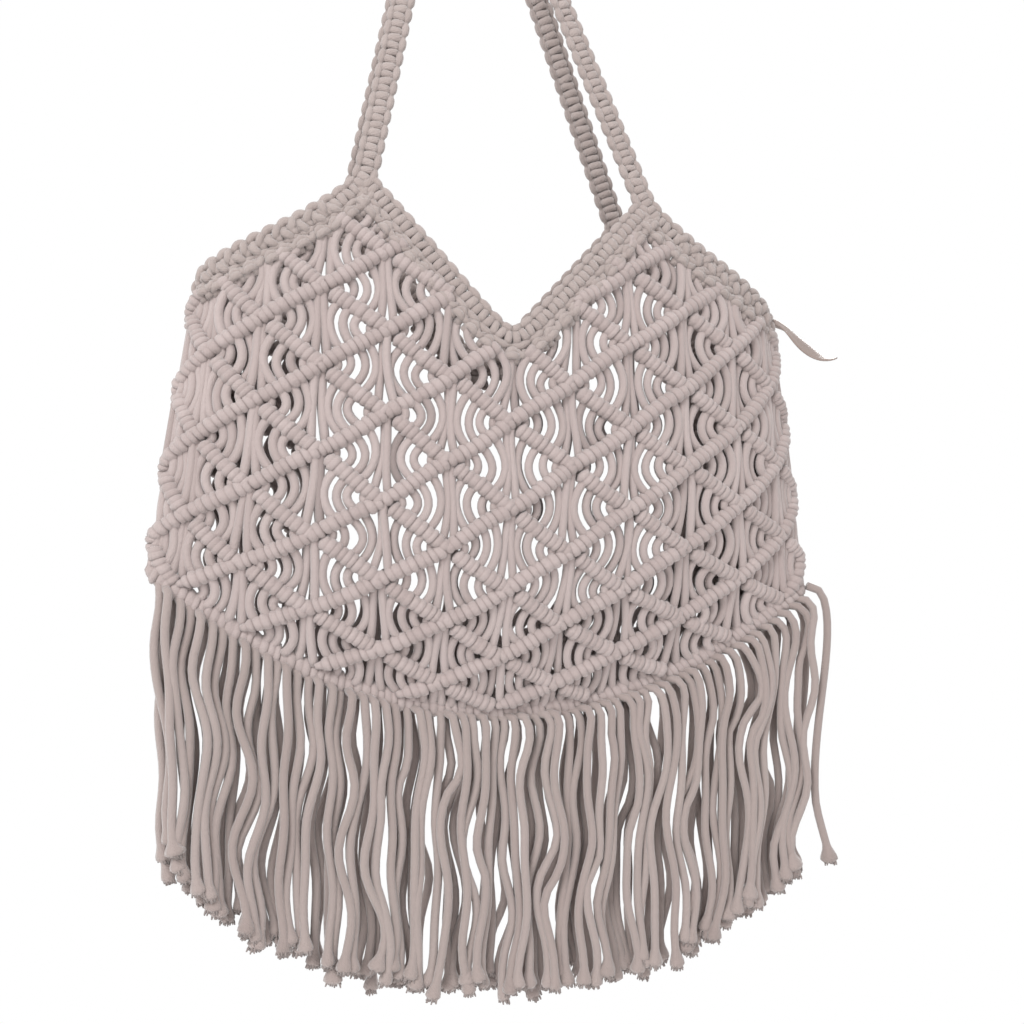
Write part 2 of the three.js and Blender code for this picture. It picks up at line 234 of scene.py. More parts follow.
def with_normals(place, column, row):
    step = 0.04  # of a column and of a row
    across = place(column + step, row) - place(column - step, row)
    down = place(column, row + step) - place(column, row - step)
    return place(column, row), unit(np.cross(down, across))


def inside(points, row, rim_margin, seam_margin):
    x, z = points[..., 0], points[..., 2]
    return (z < rim_z(x, z) - rim_margin) & (z > seam_z(x) + seam_margin) & (row < LAST_ROW)


def runs_of(mask):
    """Start and end of each unbroken stretch of a mask."""
    edges = np.flatnonzero(np.diff(np.concatenate([[0], mask.astype(int), [0]])))
    return list(zip(edges[::2], edges[1::2]))


def lengths_along(points):
    steps = np.linalg.norm(np.diff(points, axis=0), axis=1)
    return np.concatenate([[0], np.cumsum(steps)])


def resample(stops, lengths, *arrays):
    """Each array's rows at the given distances along the path."""
    return [
        np.stack([np.interp(stops, lengths, column) for column in array.T], axis=-1)
        for array in arrays
    ]


# Meshes.


class Body:
    """Closed solids gathered into one mesh. Each point keeps its place on its cord, and a tone."""

    def __init__(self):
        self.points, self.faces, self.grain = [], [], []
        self.count = 0

    def _add(self, rings, along, across, tone):
        shape = rings.shape[:-1]
        index = self.count + np.arange(int(np.prod(shape))).reshape(shape)
        grain = [np.broadcast_to(value, shape) for value in (along, across, tone)]
        self.points.append(rings.reshape(-1, 3))
        self.grain.append(np.stack(grain, axis=-1).reshape(-1, 3))
        self.count += index.size
        return index

    def _quads(self, low, high):
        """Quads between two rows of rings, going round each ring."""
        low_next, high_next = np.roll(low, -1, axis=-1), np.roll(high, -1, axis=-1)
        quads = np.stack([low, low_next, high_next, high], axis=-1)
        self.faces.extend(quads.reshape(-1, 4).tolist())

    def tubes(self, rings, along, across, tone):
        """rings: tubes x stations x sides x 3."""
        index = self._add(rings, along, across, tone)
        self._quads(index[:, :-1], index[:, 1:])
        self.faces.extend(index[:, 0, ::-1].tolist())
        self.faces.extend(index[:, -1].tolist())

    def loops(self, rings, along, across, tone):
        """rings: loops x stations x sides x 3, the last station joined to the first."""
        index = self._add(rings, along, across, tone)
        self._quads(index, np.roll(index, -1, axis=1))

    def build(self, name, material, slot, *nodes):
        mesh = bpy.data.meshes.new(name)
        mesh.from_pydata((np.concatenate(self.points) + vec(HANG_OFFSET, 0, 0)) * MM, [], self.faces)
        mesh.shade_smooth()
        grain = mesh.attributes.new("grain", "FLOAT_VECTOR", "POINT")
        grain.data.foreach_set("vector", np.concatenate(self.grain).astype(np.float32).ravel())
        piece = bpy.data.objects.new(name, mesh)
        bpy.context.scene.collection.objects.link(piece)
        mesh.materials.append(material)
        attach(piece, "root")
        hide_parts(*nodes)
        return piece


def cord_frames(points, normals):
    """Along, out and side directions at each point of a path."""
    along = unit(np.gradient(points, axis=-2))
    out = unit(normals - along * np.sum(along * normals, axis=-1, keepdims=True))
    return along, out, np.cross(along, out)


def ring_angles(sides):
    return np.arange(sides) * 2 * math.pi / sides


def cord_rings(points, normals, radius, sides, slant=0.0):
    """Rings round paths, each from its hidden side round. radius is one number, or one for each station or for
    each point of a ring; slant leans each ring along the path."""
    along, out, side = cord_frames(points, normals)
    angles = ring_angles(sides) + math.pi
    radius = np.asarray(radius, dtype=float)
    if radius.ndim < points.ndim:
        radius = radius[..., None]
    radius = np.broadcast_to(radius, (*points.shape[:-1], sides))[..., None]
    round_out = np.cos(angles)[:, None] * out[..., None, :]
    round_side = np.sin(angles)[:, None] * side[..., None, :]
    lean = slant * np.sin(angles)[:, None] * along[..., None, :]
    return points[..., None, :] + radius * (round_out + round_side + lean)


GRAIN_SHIFT = 37  # the most that the grain of one cord is shifted along it


def add_cords(body, points, normals, radius, sides=CORD_SIDES, tone=None):
    """points: cords x stations x 3."""
    points = np.asarray(points)
    normals = np.broadcast_to(normals, points.shape)
    rings = cord_rings(points, normals, radius, sides)
    steps = np.linalg.norm(np.diff(points, axis=1), axis=2)
    along = np.concatenate([0 * steps[:, :1], np.cumsum(steps, axis=1)], axis=1)[..., None]
    across = ring_angles(sides) * CORD_RADIUS
    if tone is None:
        tone = rng.random(len(points))
    tone = np.reshape(tone, (len(points), -1, 1))
    body.tubes(rings, along + GRAIN_SHIFT * rng.random((len(points), 1, 1)), across, tone)


# Ridges: a core cord that is hidden under two wraps of every cord that it crosses.

# One wrap's stations, as shares of its width, and how much of the groove's depth each has.
WRAP_STATIONS = np.array([0, 0.17, 0.5, 0.83])
WRAP_GROOVES = np.array([1.0, 0.3, 0.0, 0.3])
# Grooves are deep between two cords and shallow between the two wraps of one cord.
GROOVE_DEPTHS = (1.5, 0.95)
# Painted shade in the grooves: the tone at the start of each wrap is over 1, which darkens the cotton there.
GROOVE_SHADE_TONES = (1.6, 1.2)  # tones over 1 darken the cotton
END_TONE = 0.5
WIDTH_SPREAD = 0.22  # how unequal the wraps' widths are
RADIUS_SPREAD = 0.045
TAPER_SHARE = 0.42  # of the radius, at the tip of a tapered end
RIDGE_SIDES = 12


def add_ridge(
    body, points, normals, radius, slant,
    pitch=WRAP_PITCH, depths=GROOVE_DEPTHS, taper_start=0.0, taper_end=0.0,
):
    lengths = lengths_along(points)
    wraps = max(2, round(lengths[-1] / pitch))
    order = np.arange(wraps)
    widths = 1 + rng.uniform(-WIDTH_SPREAD, WIDTH_SPREAD, wraps)
    widths *= lengths[-1] / widths.sum()
    starts = np.cumsum(widths) - widths
    depth = np.where(order % 2 == 0, *depths)[:, None]
    uneven = 1 + RADIUS_SPREAD * rng.standard_normal(wraps)[:, None]
    radii = (radius * uneven - depth * WRAP_GROOVES).ravel()
    stops = (starts[:, None] + widths[:, None] * WRAP_STATIONS).ravel()
    stops = np.append(stops, lengths[-1])
    radii = np.append(radii, radius - depths[0])
    if taper_start:
        radii *= lerp(TAPER_SHARE, 1, smooth(stops / taper_start))
    if taper_end:
        radii *= lerp(TAPER_SHARE, 1, smooth((lengths[-1] - stops) / taper_end))
    centre, normal = resample(stops, lengths, points, normals)
    rings = cord_rings(centre[None], normal[None], radii, RIDGE_SIDES, slant=slant)
    across = ring_angles(RIDGE_SIDES) * radius
    tone = np.repeat(rng.random((wraps + 1) // 2), 2)[:wraps]
    tone = tone.repeat(len(WRAP_STATIONS)).reshape(wraps, -1)
    # Painted shade in the groove at the start of each wrap.
    tone[:, 0] = np.where(order % 2 == 0, *GROOVE_SHADE_TONES)
    tone = np.append(tone, END_TONE)
    body.tubes(rings, across[None, None], stops[None, :, None], tone[None, :, None])


RIDGE_RADIUS = 4.5
RIDGE_MARGINS = (8.0, 3.0)  # how far short of the rim's middle line and the seam's the ridges stop
RISING_LIFT = 1.0  # out of the wall
RISING_SLANT = 0.12
RISING_SAMPLES = 700
FEWEST_SAMPLES = 12  # a shorter rising ridge is left out
SEAM_TAPER = 9.0
SEAM_LIFT, SEAM_LIFT_REACH = 1.5, 25  # a ridge that starts at the seam starts further out
FALLING_START = 5.2  # how far past a crossing a falling ridge starts
FALLING_LIFT = 1.0
FALLING_SLANT = -0.08
FALLING_TAPER = 1.6
FALLING_GROOVES = (1.1, 0.7)


def lifted(points, normals, lift):
    return points + normals * lift


def add_rising_ridges(body, place):
    """The unbroken ridges, from lower left to upper right."""
    for total in range(-2 * HALF_COLUMNS, 4 * HALF_COLUMNS, 2):
        column = np.linspace(-HALF_COLUMNS, HALF_COLUMNS, RISING_SAMPLES)
        points, normals = with_normals(place, column, total - column)
        for start, end in runs_of(inside(points, total - column, *RIDGE_MARGINS)):
            if end - start < FEWEST_SAMPLES:
                continue
            line, normal = points[start:end], normals[start:end]
            at_seam = start > 0
            near_seam = 1 - smooth(lengths_along(line) / SEAM_LIFT_REACH)
            lift = RISING_LIFT + at_seam * SEAM_LIFT * near_seam
            line = lifted(line, normal, lift[:, None])
            add_ridge(body, line, normal, RIDGE_RADIUS, RISING_SLANT, taper_start=at_seam * SEAM_TAPER)


def add_falling_ridges(body, place):
    """The ridges from upper left to lower right, which stop at each unbroken one."""
    for difference in range(-2 * HALF_COLUMNS, 4 * HALF_COLUMNS, 2):
        for knot in range(-HALF_COLUMNS, HALF_COLUMNS):
            column = np.linspace(knot, knot + 1, 60)
            points, normals = with_normals(place, column, column + difference)
            for start, end in runs_of(inside(points, column + difference, *RIDGE_MARGINS)):
                line, normal = points[start:end], normals[start:end]
                lengths = lengths_along(line)
                first = FALLING_START if start == 0 else 0.0
                if lengths[-1] < first + 2 * WRAP_PITCH:
                    continue
                stops = np.linspace(first, lengths[-1], 30)
                line, normal = resample(stops, lengths, line, normal)
                line = lifted(line, normal, FALLING_LIFT)
                taper = FALLING_TAPER if first else 0.0
                add_ridge(
                    body, line, normal, RIDGE_RADIUS, FALLING_SLANT, FALLING_WRAP_PITCH, FALLING_GROOVES, taper
                )


# Fans: in every diamond, cords bow round its left and its right corner, from ridge to ridge.
# Each cord, from the corner to the middle: where it is tied to the upper and to the lower ridge, and how far it
# bows between them, as shares of the way from the corner to the diamond's middle.
FAN = [
    (0.2, 0.19, 0.085),
    (0.36, 0.34, 0.15),
    (0.53, 0.50, 0.185),
    (0.70, 0.64, 0.21),
    (0.955, 0.875, 0.03),
]
FAN_STATIONS = 10
FAN_SAMPLES = 30
FAN_MARGINS = (6.0, 1.0)  # how far short of the rim's middle line and the seam's the cords stop
SHORTEST_FAN = 5.0
FAN_SWELL = 0.14  # how much thicker the cords lie in the crowded diamonds at the sides
FAN_LIFT, FAN_LIFT_SPREAD = -0.6, 0.8  # out of the wall
FAN_END_SPREAD = 0.016  # of the way from the corner to the middle, like the next
FAN_BOW_SPREAD = 0.018
LEAST_FLATNESS = 0.3


def flatness(row):
    """How far the rows have drawn together, where the cords bow less."""
    down = max(row / ROWS, 0)
    slope = ROW_SHARES["linear"] + down * (2 * ROW_SHARES["square"] + 3 * down * ROW_SHARES["cube"])
    return max(slope / ROW_SHARES["linear"], LEAST_FLATNESS)


# The unevenness of each cord, for its column, row, side and place in the fan. The back net shares the front
# net's where one lies behind the other.
FAN_ROWS = 3 * ROWS
unevenness = rng.standard_normal((2 * HALF_COLUMNS + 1, FAN_ROWS, 2, len(FAN), 5))


def add_fans(body, place, mirror):
    """mirror is 1 for the front net and -1 for the back net, whose columns run the other way."""
    found_points, found_normals, found_radii, found_tones = [], [], [], []
    for column in range(-HALF_COLUMNS, HALF_COLUMNS + 1):
        for row in range(-ROWS, 2 * ROWS):
            if (column + row) % 2 == 0:
                continue
            for hand in (-1, 1):
                if abs(column + hand) > HALF_COLUMNS:
                    continue
                rough = unevenness[mirror * column + HALF_COLUMNS, row + ROWS, max(mirror * hand, 0)]
                for (top, foot, bow), uneven in zip(FAN, rough):
                    lift = FAN_LIFT_SPREAD * uneven[0] + FAN_LIFT
                    top, foot = top + FAN_END_SPREAD * uneven[1], foot + FAN_END_SPREAD * uneven[2]
                    bow = (bow + FAN_BOW_SPREAD * uneven[3]) * flatness(row)
                    share = np.linspace(0, 1, FAN_SAMPLES)
                    inward = lerp(top, foot, share) + bow * np.sin(math.pi * share) ** 0.8
                    columns = column + hand * (1 - inward)
                    rows = row + lerp(-top, foot, share)
                    points, normals = with_normals(place, columns, rows)
                    for start, end in runs_of(inside(points, rows, *FAN_MARGINS)):
                        line = lifted(points[start:end], normals[start:end], lift)
                        lengths = lengths_along(line)
                        if lengths[-1] < SHORTEST_FAN:
                            continue
                        stops = np.linspace(0, lengths[-1], FAN_STATIONS)
                        line, normal = resample(stops, lengths, line, normals[start:end])
                        found_points.append(line)
                        found_normals.append(normal)
                        crowded = smooth((abs(column) - 2) / 2)
                        found_radii.append(CORD_RADIUS * (1 + FAN_SWELL * crowded))
                        found_tones.append(0.5 + 0.3 * uneven[4])
    radii = np.array(found_radii)[:, None]
    add_cords(body, np.array(found_points), np.array(found_normals), radii, tone=np.array(found_tones))


# Straps and rim bands: flat braids of square knots.


def slope_path(hand, count=60):
    turn = hand * np.linspace(HALF_PI, peak_turn, count)
    z = slope_z(turn)
    return wall_point(turn, z), wall_normal(turn, z)


strap_y = -(STRAP_WIDTH / 2 + 1)
bend_radius = HOOK_RADIUS + BRAID_THICKNESS / 2
EASE_REACH = 9  # millimetres each way over which a strap's bends are eased


def around_hook(angle):
    return np.stack([np.cos(angle), 0 * angle, np.sin(angle)], axis=-1)


def meeting_angle(hand, hook_x):
    """The angle about the hook at which the leg of one side meets its round."""
    rise = -HOOK_RADIUS - peak_z
    reach = PEAK_HALF_SPACING - hand * hook_x
    lean = math.atan2(rise, reach) + math.asin(bend_radius / math.hypot(rise, reach))
    return np.array(HALF_PI - hand * lean)


def leg_path(hand, hook_x, count=80):
    peak, flat = wall_point(hand * peak_turn, peak_z), wall_normal(hand * peak_turn, peak_z)
    round_out = around_hook(meeting_angle(hand, hook_x))
    top = vec(hook_x, strap_y, -HOOK_RADIUS) + bend_radius * round_out
    share = np.linspace(0, 1, count)[1:-1, None]
    twist = HALF_PI * share**4
    return lerp(peak, top, share), flat * np.cos(twist) + round_out * np.sin(twist)


def hook_path(hook_x, count=30):
    angle = np.linspace(meeting_angle(-1, hook_x), meeting_angle(1, hook_x), count)
    return vec(hook_x, strap_y, -HOOK_RADIUS) + bend_radius * around_hook(angle), around_hook(angle)


def strap_path(hook_x):
    """Points and normals each millimetre, from the left corner over the hook to the right corner."""
    down = [leg_path(1, hook_x), slope_path(1)]
    stretches = [slope_path(-1), leg_path(-1, hook_x), hook_path(hook_x)]
    stretches += [[rows[::-1] for rows in path] for path in down]
    points = np.concatenate([stretch[0] for stretch in stretches])
    normals = np.concatenate([stretch[1] for stretch in stretches])
    lengths = lengths_along(points)
    points, normals = resample(np.arange(0, lengths[-1], 1.0), lengths, points, normals)
    return eased(points, EASE_REACH), unit(eased(normals, EASE_REACH))


def eased(rows, reach):
    """A running mean that leaves the ends in place."""
    before = 2 * rows[:1] - rows[reach:0:-1]
    after = 2 * rows[-1:] - rows[-2 : -reach - 2 : -1]
    padded = np.concatenate([before, rows, after])
    kernel = np.ones(2 * reach + 1) / (2 * reach + 1)
    return np.stack([np.convolve(column, kernel, mode="valid") for column in padded.T], axis=-1)


def vee_path():
    x = np.linspace(-PEAK_HALF_SPACING, PEAK_HALF_SPACING, 300)
    turn = turn_at(x, vee_z(x))
    points, normals = wall_point(turn, vee_z(x)), wall_normal(turn, vee_z(x))
    lengths = lengths_along(points)
    return resample(np.arange(0, lengths[-1], 1.0), lengths, points, normals)


def stations(path, pitch, start=0.0, end=None):
    """Centres and directions every pitch along a path of points and normals."""
    points, normals = path
    lengths = lengths_along(points)
    end = lengths[-1] if end is None else end
    count = max(1, round((end - start) / pitch))
    stops = start + (np.arange(count) + 0.5) * (end - start) / count
    along, out, side = cord_frames(points, normals)
    return resample(stops, lengths, points, along, out, side)


RUNG_STATIONS = 12
RUNG_SIDES = 8
RUNG_REACH, RUNG_HEIGHT = 2.1, 1.5  # half the size of a loop, across the braid and through it
RUNG_RADIUS = 2.36
RUNG_TILT = 0.35


def boxy(value, power):
    return np.sign(value) * np.abs(value) ** power


def add_rungs(body, centre, along, out, side):
    """Loops of cord round a braid. Neighbours press each other flat."""
    count = len(centre)
    angle = ring_angles(RUNG_STATIONS)
    tilt = RUNG_TILT * np.where(np.arange(count) % 2, 1, -1)[:, None, None]
    tilt = tilt + 0.25 * rng.standard_normal((count, 1, 1))
    cos, sin = np.cos(angle)[None, :, None], np.sin(angle)[None, :, None]
    across, through = side[:, None], out[:, None]
    path = centre[:, None] + across * RUNG_REACH * boxy(cos, 0.7) + through * RUNG_HEIGHT * boxy(sin, 0.8)
    path = path + along[:, None] * tilt * cos * np.sign(sin)
    away = unit(across * cos * RUNG_HEIGHT + through * sin * RUNG_REACH)
    turn = ring_angles(RUNG_SIDES)[:, None] + math.pi
    ahead = along[:, None, None]
    wobble = RUNG_RADIUS * (1 + 0.06 * rng.standard_normal((count, 1, 1, 1)))
    section = away[:, :, None] * boxy(np.cos(turn), 0.8) + ahead * boxy(np.sin(turn), 0.65)
    tone = rng.random((count, 1, 1))
    rings = path[:, :, None] + wobble * section
    body.loops(rings, (angle * RUNG_REACH)[None, :, None], turn[:, 0] * RUNG_RADIUS, tone)


RAIL_STATIONS = 10  # in each block of a rail
RAIL_SIDES = 9
RAIL_OFFSET = 4.5
RAIL_HEIGHT = 1.1
RAIL_RADIUS = 2.2
RAIL_SWING = 0.3
RAIL_SWELL = 0.2  # how much thicker a block is for each millimetre that it stands out
RAIL_PITCH = 2 * KNOT_PITCH
PINCHES = {"straight": 0.58, "swinging": 0.78}  # of the radius, where the rail dives under a rung
# Painted shade where the rail dives under a rung: a tone over 1 darkens the cotton there.
PINCH_SHADE_TONE = 1.3


def add_rail(body, path, hand, swing, start=0.0, end=None):
    """A cord along a braid, pinched where it dives under the rungs. swing gives how far its blocks stand out,
    from the distance along the path."""
    centre, _, out, side = stations(path, RAIL_PITCH / RAIL_STATIONS, start, end)
    stops = (np.arange(len(centre)) + 0.5) * RAIL_PITCH / RAIL_STATIONS
    phase = (np.arange(len(centre)) + 0.5) * math.pi / RAIL_STATIONS
    bulge = 1 - np.abs(np.cos(phase)) ** 6
    reach = swing(stops) * np.sin(phase) ** 2
    line = centre + side * hand * (RAIL_OFFSET + reach[:, None]) + out * RAIL_HEIGHT
    pinch = np.where(swing(stops) > 2 * RAIL_SWING, PINCHES["swinging"], PINCHES["straight"])
    radii = (RAIL_RADIUS + RAIL_SWELL * swing(stops)) * lerp(pinch, 1.0, bulge)
    tone = np.repeat(rng.random(len(stops) // RAIL_STATIONS + 1), RAIL_STATIONS)[: len(stops)]
    # Painted shade at the pinches.
    tone = np.where(bulge < 0.3, PINCH_SHADE_TONE, tone)
    add_cords(body, line[None], out[None], radii[None], sides=RAIL_SIDES, tone=tone[None])


def add_braid(body, path, start=0.0, end=None, swings=(None, None)):
    """A flat braid of square knots: rungs over a hidden core, between two rails of blocks two rungs long."""
    centre, along, out, side = stations(path, KNOT_PITCH, start, end)
    add_rungs(body, centre, along, out, side)
    for hand, swing in zip((-1, 1), swings):
        swing = swing or (lambda stops: RAIL_SWING + 0 * stops)
        add_rail(body, path, hand, swing, start, end)


# The row of knots under a rim band, which the net's cords hang from.
RIM_KNOT_PITCH = 9.8
KNOT_SIDES = 8
# Arches: half their width, and how far their ends (low) and their bends (high) lie below the middle line of the
# band and out of the band.
HOOP = {"width": 2.5, "low": 13.5, "high": 6.6, "lift_low": -0.6, "lift_high": 2.2}
SADDLE = {"width": 2.0, "low": 6.5, "high": 9.2, "lift_low": 0.6, "lift_high": 1.9}
BAR = {"half_length": 3.4, "drop": 10.6, "drop_bow": 0.9, "lift": 1.2, "lift_bow": 2.2}  # across each hoop
# Shares of the cord's radius: the least, and how much more in the middle of a bowed cord.
HOOP_RADIUS = 0.96
SADDLE_RADIUS = 0.9
BAR_RADII = (0.7, 0.25)
SLOPE_KNOT_RADII = (0.85, 0.15)
KNOT_BAR = np.linspace(-1, 1, 7)[None, :, None]


def arches(centre, along, out, towards, width, low, high, lift_low, lift_high, count):
    """Arched paths: from low on one side, over high, to low on the other."""
    angle = np.linspace(0, math.pi, count)[None, :, None]
    sideways = along[:, None] * width * np.cos(angle)
    rise = np.sin(angle) ** 0.75
    height = towards[:, None] * lerp(low, high, rise)
    lift = out[:, None] * lerp(lift_low, lift_high, rise)
    return centre[:, None] + sideways + height + lift, out[:, None] + 0 * height


def add_rim_knots(body, path, down, start, end):
    """down is 1 or -1: the side of the path on which the net hangs."""
    centre, along, out, side = stations(path, RIM_KNOT_PITCH, start, end)
    centre = centre + along * rng.uniform(-0.8, 0.8, (len(centre), 1))
    towards = unit(side * down + along * rng.uniform(-0.22, 0.22, (len(centre), 1)))
    hoop, hoop_out = arches(centre, along, out, towards, **HOOP, count=9)
    add_cords(body, hoop, hoop_out, CORD_RADIUS * HOOP_RADIUS, sides=KNOT_SIDES)
    bow = 1 - KNOT_BAR**2
    line = centre[:, None] + along[:, None] * KNOT_BAR * BAR["half_length"]
    line = line + towards[:, None] * (BAR["drop"] - BAR["drop_bow"] * bow)
    line = line + out[:, None] * (BAR["lift"] + BAR["lift_bow"] * bow)
    radii = CORD_RADIUS * (BAR_RADII[0] + BAR_RADII[1] * bow[..., 0])
    add_cords(body, line, out[:, None], np.broadcast_to(radii, line.shape[:2]), sides=KNOT_SIDES)
    between = centre + along * RIM_KNOT_PITCH / 2
    saddle, saddle_out = arches(between, along, out, towards, **SADDLE, count=7)
    add_cords(body, saddle, saddle_out, CORD_RADIUS * SADDLE_RADIUS, sides=KNOT_SIDES)


# Fat knots over the middle of the slopes, beside the blocks that stand out of their edges.
SLOPE_KNOT_PITCH = 8.8
SLOPE_SWING = 1.7
# The two knots of each pitch: how far along it each lies, how it leans and how far across the slope it lies.
SLOPE_KNOTS = ((0.0, 0.55, 2.3), (0.5, -0.6, -1.6))
SLOPE_KNOT = {"half_length": 3.6, "lift": 0.8, "lift_bow": 2.1}


def add_slope_knots(body, path, up, start, end):
    centre, along, out, side = stations(path, SLOPE_KNOT_PITCH, start, end)
    count = len(centre)
    for shift, lean, across in SLOPE_KNOTS:
        middle = centre + along * shift * SLOPE_KNOT_PITCH + side * up * across
        heading = along * (lean + 0.25 * rng.standard_normal((count, 1))) + side * up
        bow = 1 - KNOT_BAR**2
        line = middle[:, None] + unit(heading)[:, None] * KNOT_BAR * SLOPE_KNOT["half_length"]
        line = line + out[:, None] * (SLOPE_KNOT["lift"] + SLOPE_KNOT["lift_bow"] * bow)
        radii = CORD_RADIUS * (SLOPE_KNOT_RADII[0] + SLOPE_KNOT_RADII[1] * bow[..., 0])
        add_cords(body, line, out[:, None], np.broadcast_to(radii, line.shape[:2]), sides=KNOT_SIDES)


def turned_about(path):
    """The path on the back of the bag, half a turn about the vertical."""
    half_turn = vec(-1, -1, 1)
    return path[0] * half_turn, path[1] * half_turn


slope_run = float(lengths_along(slope_path(-1)[0])[-1])
KNOTTED_SHARE = 0.78  # of a slope, from the corner
SWINGING_SHARE = 0.7  # of a slope, from the corner, before the blocks draw in towards the peak
BRAID_GAP, KNOT_GAP = 0.3, 0.5  # from a strap's end to its braid and to its knots
PEAK_GAP = 4  # from a peak to the last knot of a slope
VEE_KNOT_GAP = 3.0  # from a peak to the first knot of a vee band


def build_strap(name, path, node, material):
    body = Body()
    total = lengths_along(path[0])[-1]
    edge = slope_run * KNOTTED_SHARE
    upper = -net_side(path)

    def swing(stops):
        to_end = np.minimum(stops, total - stops)
        past = (to_end / slope_run - SWINGING_SHARE) / (1 - SWINGING_SHARE)
        return lerp(SLOPE_SWING, RAIL_SWING, smooth(past))

    swings = (swing, None) if upper < 0 else (None, swing)
    add_braid(body, path, BRAID_GAP, total - BRAID_GAP, swings)
    for start, end in ((KNOT_GAP, edge), (total - edge, total - KNOT_GAP)):
        add_slope_knots(body, path, upper, start, end)
    reach = slope_run - PEAK_GAP
    for start, end in ((KNOT_GAP, reach), (total - reach, total - KNOT_GAP)):
        add_rim_knots(body, path, -upper, start, end)
    return body.build(name, material, "braid_cotton", node)


def net_side(path):
    """Which side of a rim path the net is on: 1 or -1."""
    points, normals = path
    _, _, side = cord_frames(points, normals)
    return 1 if side[len(side) // 20][2] < 0 else -1


def build_vee(name, path, node, material):
    body = Body()
    total = lengths_along(path[0])[-1]
    add_braid(body, path)
    add_rim_knots(body, path, net_side(path), VEE_KNOT_GAP, total - VEE_KNOT_GAP)
    return body.build(name, material, "braid_cotton", node)


# The bottom seam and the fringe.


def seam_path():
    x = np.linspace(-BASE_HALF_WIDTH - 2, BASE_HALF_WIDTH + 2, 500)
    points = np.stack([x, 0 * x, seam_z(x)], axis=-1)
    return points, np.broadcast_to(vec(0, -1, 0), points.shape)


SEAM_SWELL = 0.8
SEAM_SLANT = 0.2
SEAM_END_TAPER = 6.0


def build_seam(material):
    body = Body()
    points, normals = seam_path()
    radius = SEAM_RADIUS + SEAM_SWELL
    add_ridge(body, points, normals, radius, SEAM_SLANT, taper_start=SEAM_END_TAPER, taper_end=SEAM_END_TAPER)
    return body.build("bottom_seam_knots", material, "net_cotton", "bottom_seam")


FRINGE_CORDS = 64
FRINGE_SIDES = 8
FRAY_SHARE = 0.07  # of a cord's length, where its end has come undone
HANGING_STATIONS = np.linspace(0, 1 - FRAY_SHARE, 22)[:-1]
FRAYED_STATIONS = 1 - FRAY_SHARE * np.linspace(1, 0, 7)
FRINGE_SHARES = np.concatenate([HANGING_STATIONS, FRAYED_STATIONS])
FRINGE_NORMAL = vec(0, -1, 0.02)
CLUMP_CORDS = 4
# What changes from the left to the right of the fringe, and between which places: the share by which the cords
# are longer, and how far they leave the seam sideways.
UNEVEN_LENGTHS = {"left": -0.035, "right": 0.085, "from": -130, "over": 290}
LEAVE = {"left": 2.0, "right": 13.0, "from": -120, "over": 240}
# The bounds of what is drawn for each gap, for each clump of a few cords and for each cord.
BOUNDS = {
    "gap_shift": (-5, 5),
    "gap_drop": (30, 112),
    "gap_height": (15, 36),
    "gap_push": (3.0, 5.6),
    "clump_drift": (-4, 4),
    "clump_length": (-0.03, 0.03),
    "root": (-0.8, 0.8),
    "length": (-0.035, 0.035),
    "leave": (0.75, 1.15),
    "pull": (0.2, 0.5),
    "wave_length": (60, 110),
    "wave": (0.6, 2.0),
    "depth": (2.6, 8.4),
}
ROOT_SHIFTS = {"front": 0.35, "back": 0.8}  # of the first cord of a layer, in spacings
ROOT_DROP = 2.0
LONE_LENGTH = 1.1
SWAYS = ((2.2, 88, 190, 1.0), (1.3, 57, -83, 2.2))  # reach, length down, length across and phase of each wave

rng = np.random.default_rng(5)  # for the gaps and for the pieces, which are all built further down


def drawn(name, size):
    return rng.uniform(*BOUNDS[name], size)


# Gaps between the locks, which both layers of the fringe share.
GAP_COUNT = 19
GAP_ENDS = (-75, 178)
gap_x = np.linspace(*GAP_ENDS, GAP_COUNT) + drawn("gap_shift", GAP_COUNT)
gap_drop = drawn("gap_drop", GAP_COUNT)
gap_height = drawn("gap_height", GAP_COUNT)
gap_push = drawn("gap_push", GAP_COUNT)


def parted(x, run):
    """Pushes cords aside at each gap."""
    away = x[..., None] - gap_x
    push = np.tanh(away / 2.5) * np.exp(-np.abs(away) / 8)
    push = push * np.exp(-(((run[..., None] - gap_drop) / gap_height) ** 2))
    return x + np.sum(gap_push * push, axis=-1)


def swayed(x, run):
    """The waves that neighbouring cords have in common, which grow from the seam down."""
    wave = 0
    for reach, down, across, phase in SWAYS:
        wave = wave + reach * np.sin(2 * math.pi * (run / down + x / across) + phase)
    return x + wave * smooth(run / 45)


def across_fringe(x, shares):
    """A value that changes from the left to the right of the fringe."""
    return lerp(shares["left"], shares["right"], smooth((x - shares["from"]) / shares["over"]))


